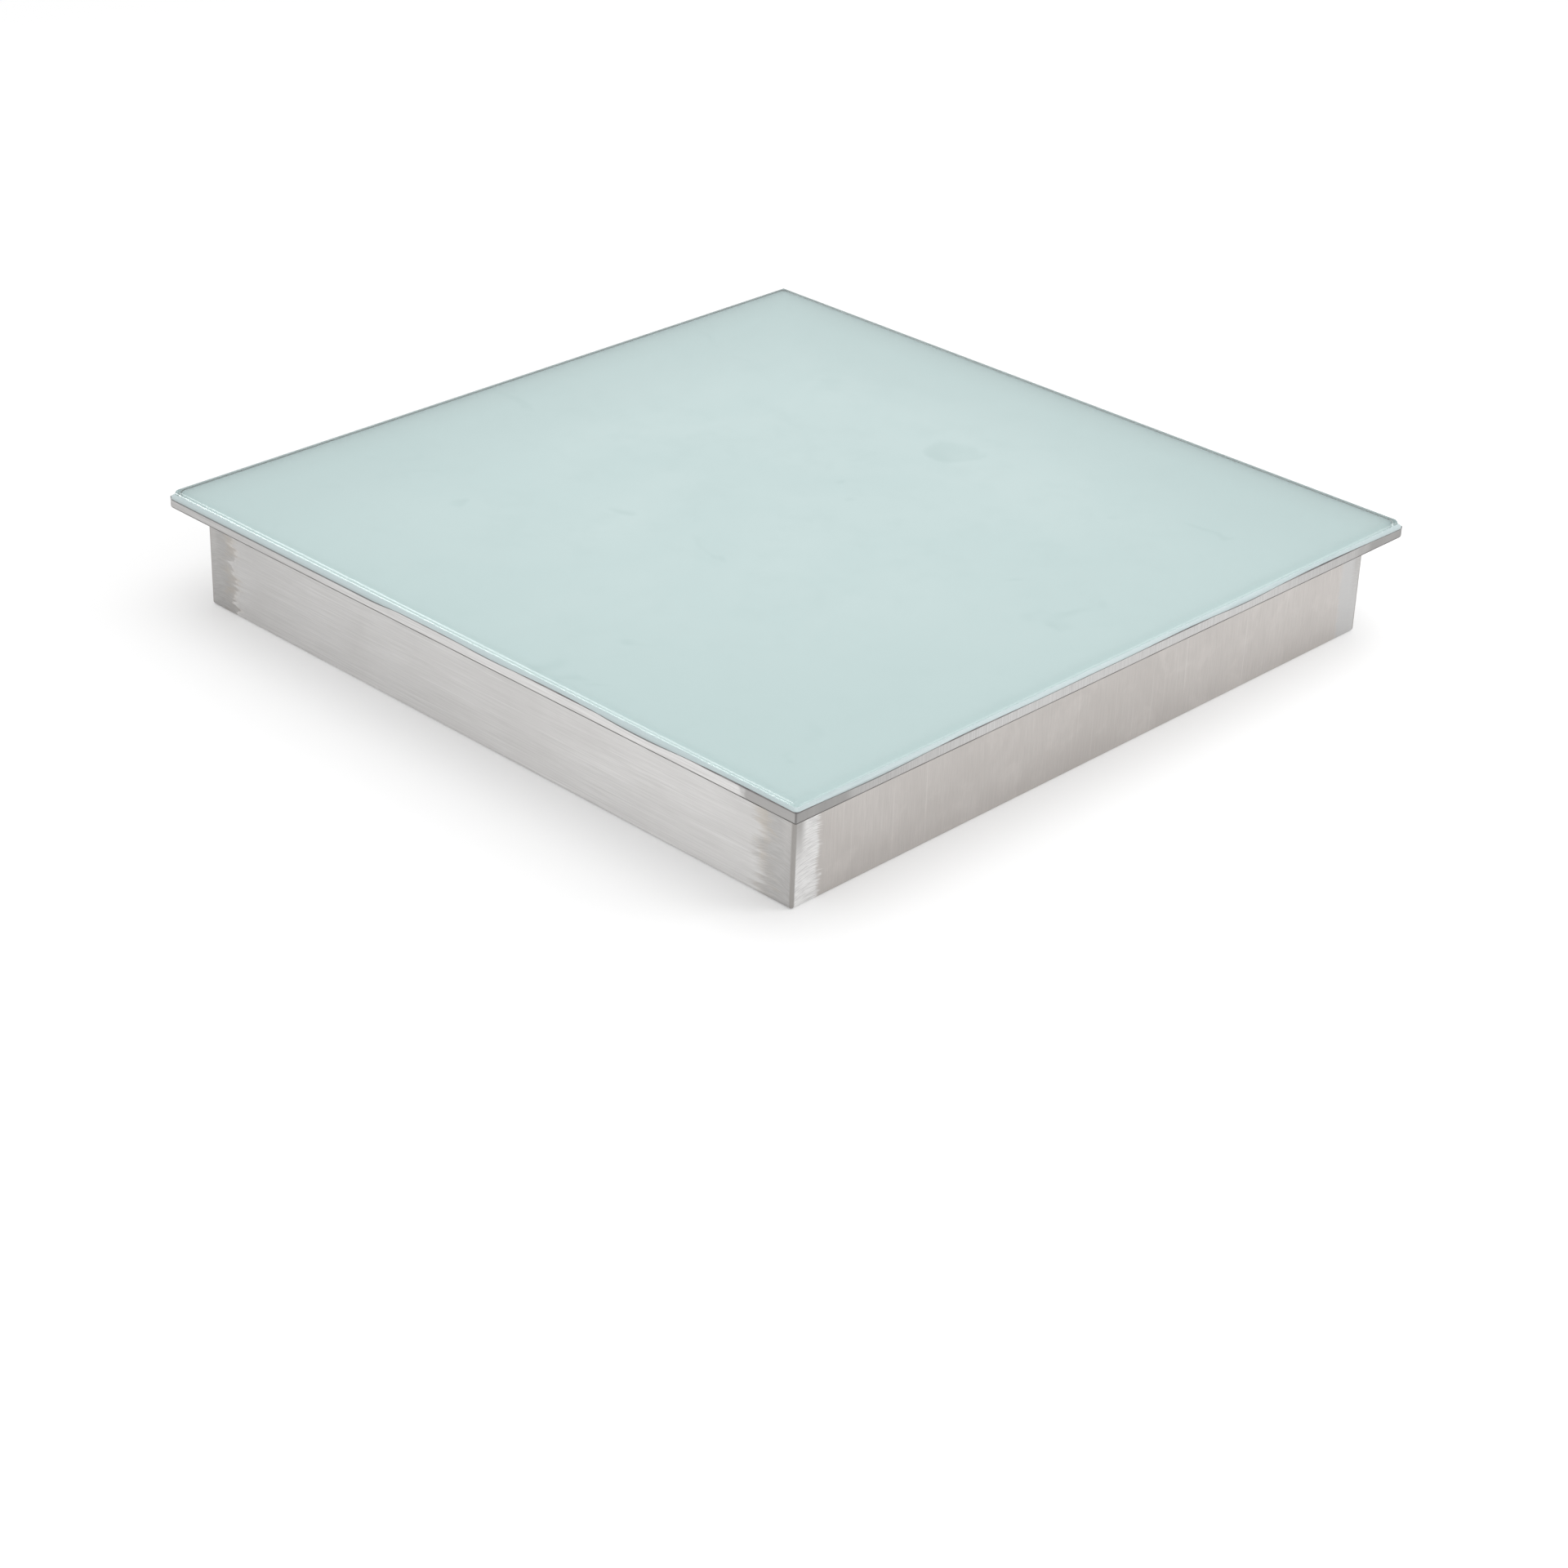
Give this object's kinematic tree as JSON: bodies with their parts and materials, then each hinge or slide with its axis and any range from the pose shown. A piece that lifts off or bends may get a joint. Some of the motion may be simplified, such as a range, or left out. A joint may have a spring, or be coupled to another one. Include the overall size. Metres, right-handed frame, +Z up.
{
  "type": "deck hatch",
  "caption": "Square lift-out deck hatch cover: an opal-backed glass pane bonded in a folded, brushed stainless tray whose flange rests on the edge of the opening.",
  "frame": {"origin": "middle of the pan's underside, which is the middle of the bottom of the bounding box", "axes": "+Z up through the glass, X and Y square to the sides; the corner at +X, -Y faces the viewer"},
  "size_m": [0.5, 0.5, 0.0719],
  "materials": {
    "brushed_stainless": "brushed along one direction, ground round at the welded corners, straw heat tint at the welds",
    "clear_glass": "toughened, polished, pencil-rounded edges, slight green tint",
    "opal_white": "opaque milky layer behind the glass",
    "silicone": "translucent, tooled smooth",
    "glazing_tape": "closed-cell foam tape",
    "rib_stainless": "mill finish, cut edges",
    "rubber": "matt black extrusion",
    "foam": "rigid closed-cell foam, cut faces"
  },
  "bodies": {
    "root": {"bedding_bead": "silicone", "edge_seal": "silicone", "foam_block_1_1": "foam", "foam_block_1_2": "foam", "foam_block_1_3": "foam", "foam_block_2_1": "foam", "foam_block_2_2": "foam", "foam_block_2_3": "foam", "foam_block_3_1": "foam", "foam_block_3_2": "foam", "foam_block_3_3": "foam", "glass_pane": "clear_glass", "glazing_tape_back": "glazing_tape", "glazing_tape_front": "glazing_tape", "glazing_tape_left": "glazing_tape", "glazing_tape_right": "glazing_tape", "opal_layer": "opal_white", "rib_along_x_1": "rib_stainless", "rib_along_x_2": "rib_stainless", "rib_along_y_1": "rib_stainless", "rib_along_y_2": "rib_stainless", "rubber_channel_x1_1": "rubber", "rubber_channel_x1_2": "rubber", "rubber_channel_x1_3": "rubber", "rubber_channel_x2_1": "rubber", "rubber_channel_x2_2": "rubber", "rubber_channel_x2_3": "rubber", "rubber_channel_y1_1": "rubber", "rubber_channel_y1_2": "rubber", "rubber_channel_y1_3": "rubber", "rubber_channel_y2_1": "rubber", "rubber_channel_y2_2": "rubber", "rubber_channel_y2_3": "rubber", "tray": "brushed_stainless"}
  },
  "joints": []
}
